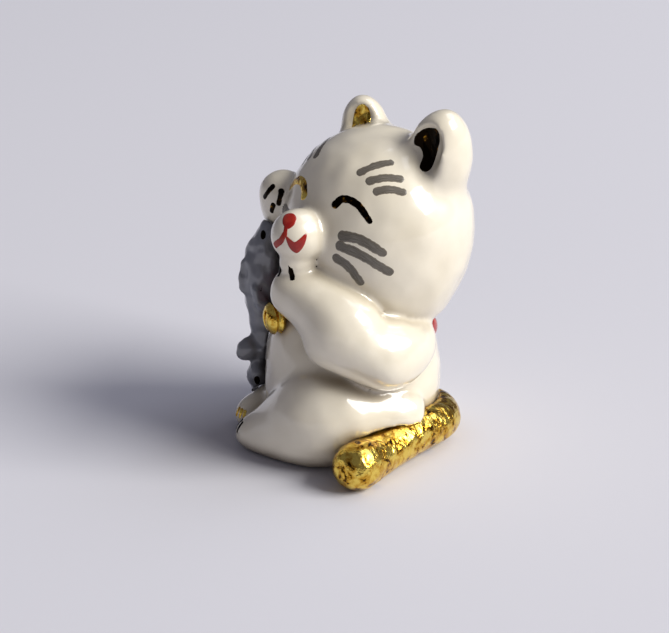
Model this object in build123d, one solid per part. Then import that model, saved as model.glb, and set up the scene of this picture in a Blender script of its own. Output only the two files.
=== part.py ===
"""Beckoning cat figurine: hand-assembled glazed porcelain miniature, sitting, about 35 mm tall.

The clay pieces are formed one by one (torso, head, snout, chin, ears, arms, legs, tail, collar, bell and
a fish), luted together and fired. The painted marks are thin raised strokes of enamel or gold lustre on
top of the glaze. Every piece is its own solid, trimmed to sit face to face on its neighbours.
Millimetres, +Z up. The cat faces -Y and its left side is +X. The origin is the bottom centre of the
figurine's bounding box. The dimensions below are measured from the torso's axis on the ground.
"""
from build123d import *
import math
import os

# Torso: a pear-shaped lump of clay, standing on a flat foot. Each station is a height with a radius, front
# to back.
TORSO_WIDTH_RATIO = 0.94
NECK_RADIUS = 7.4
TORSO = [
    (0.0, 7.4),
    (2.6, 8.7),
    (6.0, 9.0),
    (9.6, 8.6),
    (12.8, NECK_RADIUS),
    (16.4, 5.0),
]

# Head: an egg, blunt end up, turned towards the cat's left, seated on a tilted neck plane.
HEAD_WIDTH = 9.5
HEAD_DEPTH = 9.4
HEAD_UPPER = 9.8
HEAD_LOWER = 12.0
HEAD_PLACE = (0.0, 2.7, 21.7)
HEAD_YAW = 19.0

# Snout and chin: centre and half sizes, in the head's own directions.
SNOUT_REACH = 0.8  # centres beyond the front of the head
SNOUT_PLACE = (0.0, -(HEAD_DEPTH + SNOUT_REACH), 1.4)
SNOUT_SIZE = (2.6, 2.9, 2.55)
CHIN_PLACE = (0.0, -(HEAD_DEPTH + SNOUT_REACH), -1.1)
CHIN_SIZE = (1.6, 2.2, 1.6)

# Ears: rounded shells with a scooped cup. Each centre is a share of the head's half sizes.
LEFT_EAR_SHARE = (0.568, 0.234, 0.663)
LEFT_EAR_SIZE = (3.3, 3.8, 6.4)
RIGHT_EAR_SHARE = (-0.484, 0.277, 0.694)
RIGHT_EAR_SIZE = (2.7, 2.7, 4.7)
EAR_SPLAY = 14.0
EAR_CUP_SHARE = (0.6, 0.46, 0.55)  # cup half sizes as shares of the ear's
EAR_CUP_FORWARD = 0.74  # cup centre in front of the ear's, as a share of its depth
EAR_CUP_RISE = 0.4  # cup centre above the ear's, as a share of its height
LEFT_EAR_CUP_TURN = 8.0
RIGHT_EAR_CUP_TURN = 34.0

# Arms: rolls of clay, as stations of a centre with a radius.
LEFT_ARM = [
    ((5.6, 3.2, 11.4), 3.1),
    ((7.6, 1.0, 11.3), 3.6),
    ((7.9, -2.1, 12.6), 3.5),
    ((6.1, -4.8, 15.2), 3.8),
    ((3.4, -6.9, 17.2), 2.9),
]
RIGHT_ARM = [
    ((-5.2, 1.6, 11.4), 2.7),
    ((-7.4, -0.8, 13.6), 2.6),
    ((-8.0, -3.2, 17.2), 2.2),
    ((-7.2, -4.6, 20.6), 1.9),
    ((-6.1, -5.1, 23.9), 2.3),
]

# Legs: lumps along a level line from hip to toes. Each station is the share of the way along, the offset
# outwards, the height of the centre, the half width and the half height.
LEFT_LEG_ENDS = ((8.2, 4.0, 4.2), (-0.2, -12.6, 1.5))
LEFT_LEG = [
    (0.12, 0.4, 4.2, 3.0, 3.2),
    (0.30, 1.4, 4.3, 4.0, 4.4),
    (0.52, 2.0, 4.5, 4.3, 5.1),
    (0.70, 1.4, 3.8, 3.9, 4.5),
    (0.86, 0.3, 2.1, 2.7, 2.55),
    (0.96, 0.0, 1.6, 1.5, 1.4),
]
RIGHT_LEG_ENDS = ((-7.6, 5.0, 4.0), (-2.4, -11.7, 1.7))
RIGHT_LEG = [
    (0.10, 0.2, 3.9, 2.6, 2.9),
    (0.28, 0.8, 3.8, 3.7, 3.9),
    (0.46, 0.8, 3.3, 3.9, 3.7),
    (0.64, 0.3, 2.2, 3.1, 2.6),
    (0.83, 0.0, 1.8, 2.2, 1.95),
    (0.95, 0.0, 1.7, 1.4, 1.4),
]

# Tail: a short roll on the ground round the left hip, with a thicker tip.
TAIL = [
    ((2.6, 7.9, 2.0), 1.8),
    ((5.5, 7.5, 2.15), 1.95),
    ((7.6, 4.4, 2.4), 2.15),
    ((9.7, 0.3, 2.3), 2.1),
    ((11.2, -2.6, 2.2), 2.2),
    ((12.2, -4.6, 2.3), 2.4),
]

# Collar and bell.
NECK_PLACE = (0.0, 0.6, 12.9)
NECK_TILT = 15.0
HEAD_FOOT_RADIUS = HEAD_WIDTH * math.sqrt(1 - ((HEAD_PLACE[2] - NECK_PLACE[2]) / HEAD_LOWER) ** 2)
COLLAR_STAND = 0.64  # middle of the roll beyond the foot of the head
COLLAR_RADIUS = HEAD_FOOT_RADIUS + COLLAR_STAND
COLLAR_THICKNESS = 0.9
BELL_RADIUS = 1.7
BELL_PLACE = (-0.3, NECK_PLACE[1] - COLLAR_RADIUS - BELL_RADIUS, 13.2)
BELL_DEPTH_RATIO = 0.65
BELL_SLOT = (0.45, 1.0, 1.8)
BELL_GROOVE = 0.3

# Fish: held by the head under the right paw, its forked tail hanging to the right foot.
FISH = [
    ((-6.0, -6.3, 20.3), 1.3),
    ((-6.1, -7.0, 18.2), 1.9),
    ((-6.3, -7.3, 15.2), 2.2),
    ((-6.2, -7.2, 12.0), 2.0),
    ((-6.0, -7.3, 9.2), 1.6),
    ((-5.9, -7.6, 7.2), 1.3),
]
FISH_FRONT_LOBE_PLACE = (-5.9, -9.0, 7.7)
FISH_FRONT_LOBE_SIZE = (1.0, 1.6, 1.5)
FISH_LOWER_LOBE_PLACE = (-5.8, -8.0, 4.4)
FISH_LOWER_LOBE_SIZE = (1.3, 1.3, 2.7)
FISH_BACK_FIN_PLACE = (-6.3, -9.0, 15.4)
FISH_BACK_FIN_SIZE = (0.6, 1.0, 2.2)
FISH_SIDE_FIN_PLACE = (-4.5, -8.2, 13.6)
FISH_SIDE_FIN_SIZE = (0.8, 0.9, 1.7)
FISH_SIDE_FIN_TURN = 25.0

# Painted marks. Each stroke is a path of (azimuth, latitude) directions from the middle of its piece, in
# degrees, azimuth from straight ahead towards the cat's left, and a width at its start and its end.
MARK_HEIGHT = 0.12
MARK_CLEARANCE = 0.004
LEFT_EYE = [(17, 29), (24, 33), (34, 30), (42, 21)]
RIGHT_EYE = [(-12, 28), (-19, 33), (-30, 32), (-40, 24)]
EYE_WIDTHS = (0.75, 0.5)
FOREHEAD = [
    [(30, 50), (44, 55), (60, 57)],
    [(39, 45), (53, 47), (66, 46)],
    [(45, 39), (56, 40), (66, 38)],
]
FOREHEAD_WIDTHS = (0.7, 0.7)
WHISKERS = [
    [(24, 12), (37, 11), (51, 3)],
    [(24, 5), (38, 2), (55, -8)],
    [(22, -2), (30, -6), (38, -17)],
]
WHISKER_WIDTHS = (0.85, 0.7)
NOSE = [(-18, 56), (10, 68), (38, 56), (34, 40), (20, 30), (2, 38)]
MOUTH_FAR = [(17, 28), (20, 18), (12, 6), (-4, -8)]
MOUTH_FAR_WIDTHS = (0.5, 0.5)
MOUTH_NEAR = [(24, 15), (42, 3), (68, 20), (58, -2), (45, -20), (33, -8)]
LEFT_PAW_CLAWS = [
    [(32, 66), (47, 48)],
    [(-28, 64), (-6, 44)],
    [(-66, 44), (-44, 30)],
]
RIGHT_PAW_CLAWS = [
    [(44, 34), (14, 2)],
    [(70, 24), (62, -8)],
    [(46, -14), (38, -34)],
]
TOE_CLAWS = [
    [(-34, 48), (-30, 8)],
    [(0, 52), (0, 8)],
    [(34, 48), (30, 8)],
]
LEFT_TOES_PLACE = (0.5, -11.2, 1.7)
RIGHT_TOES_PLACE = (-2.6, -10.5, 1.8)
LEFT_TOES_TURN = -27.0
RIGHT_TOES_TURN = 20.0
TOE_REACH = 1.6
CLAW_WIDTHS = (0.6, 0.5)
LINING_SHARE = (0.62, 0.68)
FISH_DOTS = [(-5.2, -7.5, 20.1), (-4.9, -8.5, 4.4)]
FISH_DOT_RADIUS = 0.42

CAP_STEPS = 3
STROKE_STEPS = 6
BOX_TOLERANCE = 0.02


def ball(size, grow=0.0):
    """Ellipsoid with the given half sizes, grown by a coating thickness."""
    return scale(Sphere(1.0), by=(size[0] + grow, size[1] + grow, size[2] + grow))


def limb(stations, grow=0.0):
    """Roll of clay through the stations, with rounded ends."""
    centres = [Vector(*centre) for centre, radius in stations]
    radii = [radius + grow for centre, radius in stations]
    path = Spline(centres)
    places = [path.param_at_point(centre) for centre in centres]
    frames = [path.location_at(place, frame_method=FrameMethod.CORRECTED) for place in places]
    sections = [Vertex(*(centres[0] - (path % 0) * radii[0]))]
    for step in range(1, CAP_STEPS):
        angle = math.radians(90.0 * step / CAP_STEPS)
        cap = Plane(frames[0]).offset(-radii[0] * math.cos(angle))
        sections.append(cap * Circle(radii[0] * math.sin(angle)))
    for frame, radius in zip(frames, radii):
        sections.append(Plane(frame) * Circle(radius))
    for step in range(CAP_STEPS - 1, 0, -1):
        angle = math.radians(90.0 * step / CAP_STEPS)
        cap = Plane(frames[-1]).offset(radii[-1] * math.cos(angle))
        sections.append(cap * Circle(radii[-1] * math.sin(angle)))
    sections.append(Vertex(*(centres[-1] + (path % 1) * radii[-1])))
    return loft(sections)


def lump(ends, stations, side, grow=0.0):
    """Lump of clay along a level line, through upright oval sections."""
    start = Vector(*ends[0])
    end = Vector(*ends[1])
    way = Vector(end.X - start.X, end.Y - start.Y, 0)
    ahead = way.normalized()
    across = Vector(-way.Y, way.X, 0).normalized()
    sections = [Vertex(*(start - ahead * grow))]
    for share, outward, height, half_width, half_height in stations:
        ground = Vector(start.X, start.Y, 0) + way * share + across * side * outward
        plane = Plane(origin=ground + Vector(0, 0, height), x_dir=across, z_dir=ahead)
        sections.append(plane * Ellipse(half_width + grow, half_height + grow))
    sections.append(Vertex(*(end + ahead * grow)))
    return loft(sections)


def egg(width, depth, upper, lower, grow=0.0):
    """Ellipsoid whose upper and lower halves differ in height."""
    top = split(ball((width, depth, upper), grow), Plane.XY, Keep.TOP)
    bottom = split(ball((width, depth, lower), grow), Plane.XY, Keep.BOTTOM)
    return top + bottom


def torso_lump():
    """Pear-shaped body, narrowed sideways."""
    sections = [Pos(0, 0, height) * Ellipse(radius * TORSO_WIDTH_RATIO, radius) for height, radius in TORSO]
    return loft(sections)


HEAD_FRAME = Pos(*HEAD_PLACE) * Rot(0, 0, HEAD_YAW)
NECK_PLANE = Plane(Pos(*NECK_PLACE) * Rot(-NECK_TILT, 0, 0))


def surface_point(size, direction):
    """Point of an ellipsoid in the given (azimuth, latitude) from its middle."""
    azimuth = math.radians(direction[0])
    latitude = math.radians(direction[1])
    x = math.sin(azimuth) * math.cos(latitude)
    y = -math.cos(azimuth) * math.cos(latitude)
    z = math.sin(latitude)
    reach = math.sqrt((x / size[0]) ** 2 + (y / size[1]) ** 2 + (z / size[2]) ** 2)
    return Vector(x, y, z) / reach


def facing_plane(points):
    """Plane through the middle of a piece, square to the mean direction of the points."""
    total = Vector(0, 0, 0)
    for point in points:
        total = total + point
    return Plane(origin=(0, 0, 0), z_dir=total.normalized())


def stroke(size, directions, widths):
    """Brush stroke, as a prism from the middle of an ellipsoid outwards through its surface."""
    points = [surface_point(size, direction) for direction in directions]
    plane = facing_plane(points)
    flat = [plane.to_local_coords(point) for point in points]
    path = Spline([(point.X, point.Y) for point in flat]) if len(flat) > 2 else Line(
        (flat[0].X, flat[0].Y), (flat[1].X, flat[1].Y)
    )
    left = []
    right = []
    for step in range(STROKE_STEPS + 1):
        share = step / STROKE_STEPS
        half = (widths[0] + (widths[1] - widths[0]) * share) / 2
        square = Vector(-(path % share).Y, (path % share).X)
        left.append(path @ share + square * half)
        right.append(path @ share - square * half)
    first = path @ 0 - (path % 0) * widths[0] / 2
    last = path @ 1 + (path % 1) * widths[1] / 2
    edges = [
        Spline(left),
        ThreePointArc(left[-1], last, right[-1]),
        Spline(right[::-1]),
        ThreePointArc(right[0], first, left[0]),
    ]
    return extrude(plane * make_face(edges), amount=2 * max(size))


def patch(size, directions):
    """Filled painted shape, as a prism from the middle of an ellipsoid outwards through its surface."""
    points = [surface_point(size, direction) for direction in directions]
    plane = facing_plane(points)
    flat = [plane.to_local_coords(point) for point in points]
    outline = Polyline([(point.X, point.Y) for point in flat], close=True)
    return extrude(plane * make_face(outline), amount=2 * max(size))


def painted(inner, outer, prisms, neighbours=()):
    """The part of a thin coat, between two surfaces, that lies inside the prisms and clear of neighbours."""
    solids = []
    for prism in prisms:
        mark = (outer & prism) - inner
        for neighbour in neighbours:
            mark = mark - neighbour
        solids = solids + mark.solids()
    return Compound(solids)


def mirrored(directions):
    """The same stroke on the cat's other side."""
    return [(-azimuth, latitude) for azimuth, latitude in directions]


def build():
    """All the pieces, by name, each trimmed to its neighbours."""
    parts = {}

    # Body and head, parted at the neck.
    torso = split(torso_lump(), NECK_PLANE, Keep.BOTTOM)
    head_size = (HEAD_WIDTH, HEAD_DEPTH, HEAD_UPPER)
    whole_head = HEAD_FRAME * egg(HEAD_WIDTH, HEAD_DEPTH, HEAD_UPPER, HEAD_LOWER)
    head = split(whole_head, NECK_PLANE, Keep.TOP)
    whole_snout = HEAD_FRAME * Pos(*SNOUT_PLACE) * ball(SNOUT_SIZE)
    snout = whole_snout - head
    chin = HEAD_FRAME * Pos(*CHIN_PLACE) * ball(CHIN_SIZE) - head - snout
    parts["torso"] = torso
    parts["head"] = head
    parts["snout"] = snout
    parts["chin"] = chin

    # Ears, with the lustre lining of each cup.
    for side, name, shares, size, turn in (
        (1, "left_ear", LEFT_EAR_SHARE, LEFT_EAR_SIZE, LEFT_EAR_CUP_TURN),
        (-1, "right_ear", RIGHT_EAR_SHARE, RIGHT_EAR_SIZE, RIGHT_EAR_CUP_TURN),
    ):
        place = [share * half for share, half in zip(shares, head_size)]
        cup_size = [share * half for share, half in zip(EAR_CUP_SHARE, size)]
        cup_place = Pos(0, -EAR_CUP_FORWARD * size[1], EAR_CUP_RISE * size[2])
        cup_frame = Rot(0, 0, turn) * cup_place
        ear_frame = HEAD_FRAME * Pos(*place) * Rot(0, side * EAR_SPLAY, 0)
        cup = cup_frame * ball(cup_size)
        parts[name] = ear_frame * (ball(size) - cup) - head
        half_width = LINING_SHARE[0] * cup_size[0]
        half_height = LINING_SHARE[1] * cup_size[2]
        window = cup_frame * extrude(Plane.XZ * Ellipse(half_width, half_height), amount=-size[1])
        coat = (cup - cup_frame * ball(cup_size, -MARK_HEIGHT)) & ball(size) & window
        parts[name + "_lining"] = ear_frame * coat - head

    # Tail, legs and arms.
    tail = split(limb(TAIL), Plane.XY, Keep.TOP) - torso
    left_leg = split(lump(LEFT_LEG_ENDS, LEFT_LEG, 1), Plane.XY, Keep.TOP) - torso - tail
    right_leg = split(lump(RIGHT_LEG_ENDS, RIGHT_LEG, -1), Plane.XY, Keep.TOP) - torso - left_leg
    collar = NECK_PLANE.location * Torus(COLLAR_RADIUS, COLLAR_THICKNESS) - torso - head
    left_arm = limb(LEFT_ARM) - torso - head - collar - snout - chin - left_leg
    right_arm = limb(RIGHT_ARM) - torso - head - collar - snout - right_leg
    parts["tail"] = tail
    parts["left_leg"] = left_leg
    parts["right_leg"] = right_leg
    parts["left_arm"] = left_arm
    parts["right_arm"] = right_arm
    parts["collar"] = collar
    bell_depth = BELL_RADIUS * BELL_DEPTH_RATIO
    groove = Rot(90, 0, 0) * Torus(BELL_RADIUS, BELL_GROOVE)
    slot = Pos(0, -bell_depth, 0) * Box(*BELL_SLOT)
    bell = Pos(*BELL_PLACE) * (ball((BELL_RADIUS, bell_depth, BELL_RADIUS)) - groove - slot)
    parts["bell"] = bell - torso - collar - left_arm - head

    # Fish.
    fish_body = limb(FISH) - right_arm - torso - right_leg - left_arm - snout - head
    front_lobe = Pos(*FISH_FRONT_LOBE_PLACE) * ball(FISH_FRONT_LOBE_SIZE) - fish_body
    lower_lobe = Pos(*FISH_LOWER_LOBE_PLACE) * ball(FISH_LOWER_LOBE_SIZE) - fish_body - front_lobe
    back_fin = Pos(*FISH_BACK_FIN_PLACE) * ball(FISH_BACK_FIN_SIZE)
    side_fin = Pos(*FISH_SIDE_FIN_PLACE) * Rot(FISH_SIDE_FIN_TURN, 0, 0) * ball(FISH_SIDE_FIN_SIZE)
    lower_lobe = lower_lobe - right_leg - torso
    parts["fish_body"] = fish_body
    parts["fish_front_lobe"] = front_lobe
    parts["fish_lower_lobe"] = lower_lobe
    parts["fish_back_fin"] = back_fin - fish_body
    parts["fish_side_fin"] = side_fin - fish_body - torso - left_arm
    dots = [Pos(*place) * Sphere(FISH_DOT_RADIUS) - fish_body - lower_lobe for place in FISH_DOTS]
    parts["fish_dots"] = Compound([solid for dot in dots for solid in dot.solids()])

    # Marks on the head.
    inner_head = HEAD_FRAME * egg(HEAD_WIDTH, HEAD_DEPTH, HEAD_UPPER, HEAD_LOWER, MARK_CLEARANCE)
    outer_head = HEAD_FRAME * egg(HEAD_WIDTH, HEAD_DEPTH, HEAD_UPPER, HEAD_LOWER, MARK_HEIGHT)
    for name, strokes, widths in (
        ("left_eye_line", [LEFT_EYE], EYE_WIDTHS),
        ("right_eye_line", [RIGHT_EYE], EYE_WIDTHS),
        ("forehead_stripes", FOREHEAD + [mirrored(path) for path in FOREHEAD], FOREHEAD_WIDTHS),
        ("left_whiskers", WHISKERS, WHISKER_WIDTHS),
        ("right_whiskers", [mirrored(path) for path in WHISKERS], WHISKER_WIDTHS),
    ):
        prisms = [HEAD_FRAME * stroke(head_size, path, widths) for path in strokes]
        parts[name] = painted(inner_head, outer_head, prisms, [snout, left_arm, right_arm])

    # Nose and mouth.
    snout_frame = HEAD_FRAME * Pos(*SNOUT_PLACE)
    inner_snout = snout_frame * ball(SNOUT_SIZE, MARK_CLEARANCE)
    outer_snout = snout_frame * ball(SNOUT_SIZE, MARK_HEIGHT)
    nose = [snout_frame * patch(SNOUT_SIZE, NOSE)]
    mouth = [
        snout_frame * stroke(SNOUT_SIZE, MOUTH_FAR, MOUTH_FAR_WIDTHS),
        snout_frame * patch(SNOUT_SIZE, MOUTH_NEAR),
    ]
    parts["nose"] = painted(inner_snout, outer_snout, nose, [head])
    parts["mouth"] = painted(inner_snout, outer_snout, mouth, [head, chin])

    # Claws.
    left_paw_place, left_paw_radius = LEFT_ARM[-1]
    right_paw_place, right_paw_radius = RIGHT_ARM[-1]
    left_paw_frame = Pos(*left_paw_place)
    right_paw_frame = Pos(*right_paw_place)
    left_toes_frame = Pos(*LEFT_TOES_PLACE) * Rot(0, 0, LEFT_TOES_TURN)
    right_toes_frame = Pos(*RIGHT_TOES_PLACE) * Rot(0, 0, RIGHT_TOES_TURN)
    left_paw = [limb(LEFT_ARM, MARK_CLEARANCE), limb(LEFT_ARM, MARK_HEIGHT)]
    right_paw = [limb(RIGHT_ARM, MARK_CLEARANCE), limb(RIGHT_ARM, MARK_HEIGHT)]
    left_foot = [lump(LEFT_LEG_ENDS, LEFT_LEG, 1, grow) for grow in (MARK_CLEARANCE, MARK_HEIGHT)]
    right_foot = [lump(RIGHT_LEG_ENDS, RIGHT_LEG, -1, grow) for grow in (MARK_CLEARANCE, MARK_HEIGHT)]
    for name, skins, frame, reach, strokes, neighbours in (
        ("left_paw_claws", left_paw, left_paw_frame, left_paw_radius, LEFT_PAW_CLAWS, [chin, snout]),
        ("right_paw_claws", right_paw, right_paw_frame, right_paw_radius, RIGHT_PAW_CLAWS, [head, snout]),
        ("left_toe_claws", left_foot, left_toes_frame, TOE_REACH, TOE_CLAWS, [right_leg]),
        ("right_toe_claws", right_foot, right_toes_frame, TOE_REACH, TOE_CLAWS, [left_leg]),
    ):
        prisms = [frame * stroke((reach, reach, reach), path, CLAW_WIDTHS) for path in strokes]
        parts[name] = painted(skins[0], skins[1], prisms, neighbours)
    return parts


def bottom_centre(parts):
    """Bottom centre of the box round all the pieces."""
    points = [point for solid in parts.values() for point in solid.tessellate(BOX_TOLERANCE)[0]]
    middle_x = (min(point.X for point in points) + max(point.X for point in points)) / 2
    middle_y = (min(point.Y for point in points) + max(point.Y for point in points)) / 2
    return Vector(middle_x, middle_y, min(point.Z for point in points))


def main():
    """Move the origin to the bottom centre and write one file for each piece."""
    os.makedirs("parts", exist_ok=True)
    parts = build()
    origin = bottom_centre(parts)
    for name, solid in parts.items():
        export_step(Pos(-origin.X, -origin.Y, -origin.Z) * solid, "parts/" + name + ".step")


main()
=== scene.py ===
# %% [markdown]
# # Beckoning cat figurine
# A thumb-high porcelain cat, made from rolled and pressed clay, glazed white, then decorated with gold
# lustre, red enamel and soft grey brushwork. The CAD model gives every piece its place and size. Here
# each piece gets the rounded, glazed surface that it has after firing.

# %% Load the fixed frame
import math
import random

import bmesh
import bpy
import numpy
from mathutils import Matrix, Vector, noise
from mathutils.bvhtree import BVHTree


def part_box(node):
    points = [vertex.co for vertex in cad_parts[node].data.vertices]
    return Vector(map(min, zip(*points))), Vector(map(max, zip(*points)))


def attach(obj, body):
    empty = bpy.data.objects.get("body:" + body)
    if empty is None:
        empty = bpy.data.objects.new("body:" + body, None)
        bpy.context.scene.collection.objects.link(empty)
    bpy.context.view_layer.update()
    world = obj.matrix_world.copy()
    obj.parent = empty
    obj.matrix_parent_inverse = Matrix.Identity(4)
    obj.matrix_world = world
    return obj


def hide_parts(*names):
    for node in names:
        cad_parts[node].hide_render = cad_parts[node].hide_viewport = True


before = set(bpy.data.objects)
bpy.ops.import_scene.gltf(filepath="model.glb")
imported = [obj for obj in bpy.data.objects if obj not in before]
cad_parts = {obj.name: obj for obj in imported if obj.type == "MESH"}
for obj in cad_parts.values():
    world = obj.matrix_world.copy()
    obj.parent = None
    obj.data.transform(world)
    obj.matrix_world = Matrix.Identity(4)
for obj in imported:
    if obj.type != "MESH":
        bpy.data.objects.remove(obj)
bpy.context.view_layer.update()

MM = 0.001

# %% [markdown]
# ## Landmarks
# The cat's own axes are handy: it sits with its face to -Y and its head turned towards its left. The
# torso's axis and the head's middle come from the boxes of the CAD pieces.

# %% Landmarks from the CAD boxes
HEAD_TURN = math.radians(19.0)
HEAD_UPPER = 9.8 * MM


def middle(node):
    """Middle of a CAD node's box."""
    low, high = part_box(node)
    return (Vector(low) + Vector(high)) / 2


def at_axis(x, y, z):
    """A place in millimetres from the torso's axis on the ground."""
    return Vector((torso_axis.x + x * MM, torso_axis.y + y * MM, z * MM))


torso_axis = middle("torso")
head_middle = Vector((middle("head").x, middle("head").y, Vector(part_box("head")[1]).z - HEAD_UPPER))
print("head middle in mm:", [round(value / MM, 2) for value in head_middle])


def way(azimuth, latitude, turn=HEAD_TURN):
    """Direction from straight ahead, turned towards the cat's left, and up."""
    angle = math.radians(azimuth) + turn
    rise = math.radians(latitude)
    return Vector((math.sin(angle) * math.cos(rise), -math.cos(angle) * math.cos(rise), math.sin(rise)))


# %% [markdown]
# ## One glaze over all the clay
# The clay pieces are pressed together wet, so after glazing there are no sharp joins: the glaze runs into
# every crease and rounds it. A Bevel modifier could round each crease, but these joins are wavy and meet
# three at a time, where bevels tear. Voxel remeshing the pieces as one lump and relaxing it rounds them
# all alike. The skin is then cut back into the pieces it was made from, so each stays a piece of its own.

# %% Join the clay and remesh it
CREASE_FACTOR = 0.5
MERGE_REACH = 0.001 * MM


def new_object(name, mesh):
    """A mesh as an object in the scene."""
    thing = bpy.data.objects.new(name, mesh)
    bpy.context.scene.collection.objects.link(thing)
    return thing


def clay_skin(nodes, voxel, rounds):
    """Mesh of the nodes as one lump, with every crease softened."""
    lump = bmesh.new()
    for node in nodes:
        lump.from_mesh(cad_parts[node].data)
    bmesh.ops.remove_doubles(lump, verts=lump.verts, dist=MERGE_REACH)
    mesh = bpy.data.meshes.new("lump")
    lump.to_mesh(mesh)
    lump.free()
    thing = new_object("lump", mesh)
    remesh = thing.modifiers.new("Voxels", "REMESH")
    remesh.mode = "VOXEL"
    remesh.voxel_size = voxel
    relax = thing.modifiers.new("Relax", "SMOOTH")
    relax.factor = CREASE_FACTOR
    relax.iterations = rounds
    ready = thing.evaluated_get(bpy.context.evaluated_depsgraph_get())
    skin = bpy.data.meshes.new_from_object(ready)
    bpy.data.objects.remove(thing)
    return skin


# %% Keep the outer surface and stand it on the table
def stand(skin):
    """Press the skin flat where it would dip below the table."""
    for vert in skin.vertices:
        vert.co.z = max(vert.co.z, 0.0)
    skin.update()


def largest_island(skin):
    """Only the outer surface: loose inner bubbles are removed."""
    work = bmesh.new()
    work.from_mesh(skin)
    left = set(work.verts)
    islands = []
    while left:
        start = left.pop()
        island = {start}
        front = [start]
        while front:
            vert = front.pop()
            for edge in vert.link_edges:
                other = edge.other_vert(vert)
                if other in left:
                    left.remove(other)
                    island.add(other)
                    front.append(other)
        islands.append(island)
    islands.sort(key=len)
    extra = [vert for island in islands[:-1] for vert in island]
    bmesh.ops.delete(work, geom=extra, context="VERTS")
    work.to_mesh(skin)
    work.free()
    return len(islands)


# %% Find which piece a face belongs to, and cut the pieces out
def owners(skin, nodes):
    """For every face of the skin, the CAD node nearest to it."""
    verts = []
    faces = []
    owner = []
    for node in nodes:
        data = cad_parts[node].data
        base = len(verts)
        verts.extend(vert.co.copy() for vert in data.vertices)
        for polygon in data.polygons:
            faces.append([base + index for index in polygon.vertices])
            owner.append(node)
    tree = BVHTree.FromPolygons(verts, faces)
    return [owner[tree.find_nearest(polygon.center)[2]] for polygon in skin.polygons]


def cut_piece(skin, owner, node):
    """The part of a skin that belongs to one node, closed behind the joins.

    It keeps the whole skin's normals, so that no seam shows between two pieces. The points that
    close the holes get none, and Blender works those out.
    """
    normals = [vert.normal.copy() for vert in skin.vertices]
    work = bmesh.new()
    work.from_mesh(skin)
    source = work.verts.layers.int.new("source")
    for vert in work.verts:
        vert[source] = vert.index
    doomed = [face for face in work.faces if owner[face.index] != node]
    bmesh.ops.delete(work, geom=doomed, context="FACES")
    rim = [edge for edge in work.edges if edge.is_boundary]
    filled = bmesh.ops.holes_fill(work, edges=rim, sides=0)["faces"]
    if filled:
        poked = bmesh.ops.poke(work, faces=filled, center_mode="MEAN")
        for vert in poked["verts"]:
            vert[source] = -1
    kept = [vert[source] for vert in work.verts]
    mesh = bpy.data.meshes.new(node + "_glazed")
    work.to_mesh(mesh)
    work.free()
    mesh.attributes.remove(mesh.attributes["source"])
    for polygon in mesh.polygons:
        polygon.use_smooth = True
    mesh.normals_split_custom_set_from_vertices(
        [normals[index] if index >= 0 else Vector((0, 0, 0)) for index in kept]
    )
    return mesh


# %% Search trees, and softening by weight
JOIN_SOFTNESS = 0.6


def surface_tree(data):
    """Search tree of a mesh's surface."""
    points = [vert.co for vert in data.vertices]
    return BVHTree.FromPolygons(points, [list(face.vertices) for face in data.polygons])


def node_tree(node):
    """Search tree of a CAD node's surface."""
    return surface_tree(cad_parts[node].data)


def soften(skin, weights, rounds):
    """Relax the skin, each vertex by its own weight."""
    count = len(skin.vertices)
    places = numpy.empty(count * 3)
    skin.vertices.foreach_get("co", places)
    places = places.reshape(count, 3)
    ends = numpy.empty(len(skin.edges) * 2, dtype=int)
    skin.edges.foreach_get("vertices", ends)
    first, second = ends.reshape(-1, 2).T
    links = numpy.bincount(ends, minlength=count)[:, None]
    for _ in range(rounds):
        total = numpy.zeros_like(places)
        numpy.add.at(total, first, places[second])
        numpy.add.at(total, second, places[first])
        places += weights[:, None] * (total / links - places)
    skin.vertices.foreach_set("co", places.ravel())
    skin.update()


def join_weights(skin, one, other, width):
    """Weight of each vertex for softening: full on the join of two nodes, none a width away."""
    trees = (node_tree(one), node_tree(other))
    weights = numpy.zeros(len(skin.vertices))
    for vert in skin.vertices:
        far = max(tree.find_nearest(vert.co)[3] for tree in trees)
        weights[vert.index] = JOIN_SOFTNESS * max(0.0, 1 - far / width)
    return weights


# %% Unevenness of a hand-finished surface
INWARD_BIAS = 0.3  # dents outweigh swellings, so the piece keeps inside its clay


def swell_at(point, size, seed):
    """Slow noise, about -1 to 1, in lumps of the given size."""
    return noise.fractal(point / size + Vector((7.3, 3.1, 5.7)) * seed, 1.0, 2.0, 2)


def uneven(skin, size, depth, seed):
    """Slow swellings and dents of a surface finished by hand."""
    normals = [vert.normal.copy() for vert in skin.vertices]
    for vert, normal in zip(skin.vertices, normals):
        vert.co += normal * depth * (swell_at(vert.co, size, seed) - INWARD_BIAS)
    skin.update()


# %% Draw the glaze back from the collar
NAPE_FROM = 3 * MM  # behind the torso's axis
ARM_MARGIN = 0.15 * MM
RAY_START = 0.05 * MM
RING_SOFTNESS = 0.5
RING_ROUNDS = 6


def bare_ring(skin, node, depth, sink):
    """Draw the skin back from a ring that it has flowed over, behind the neck."""
    tree = node_tree(node)
    arms = [node_tree("left_arm"), node_tree("right_arm")]
    normals = [vert.normal.copy() for vert in skin.vertices]
    moved = numpy.zeros(len(skin.vertices))
    for vert, normal in zip(skin.vertices, normals):
        if vert.co.y < torso_axis.y + NAPE_FROM:
            continue
        place, facing, _, _ = tree.ray_cast(vert.co + normal * RAY_START, -normal, depth)
        on_arm = min(arm.find_nearest(vert.co)[3] for arm in arms) < ARM_MARGIN
        if place and facing.dot(normal) > 0.0 and not on_arm:
            vert.co = place - normal * sink
            moved[vert.index] = RING_SOFTNESS
    skin.update()
    soften(skin, moved, RING_ROUNDS)
    return int(sum(moved > 0))


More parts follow.
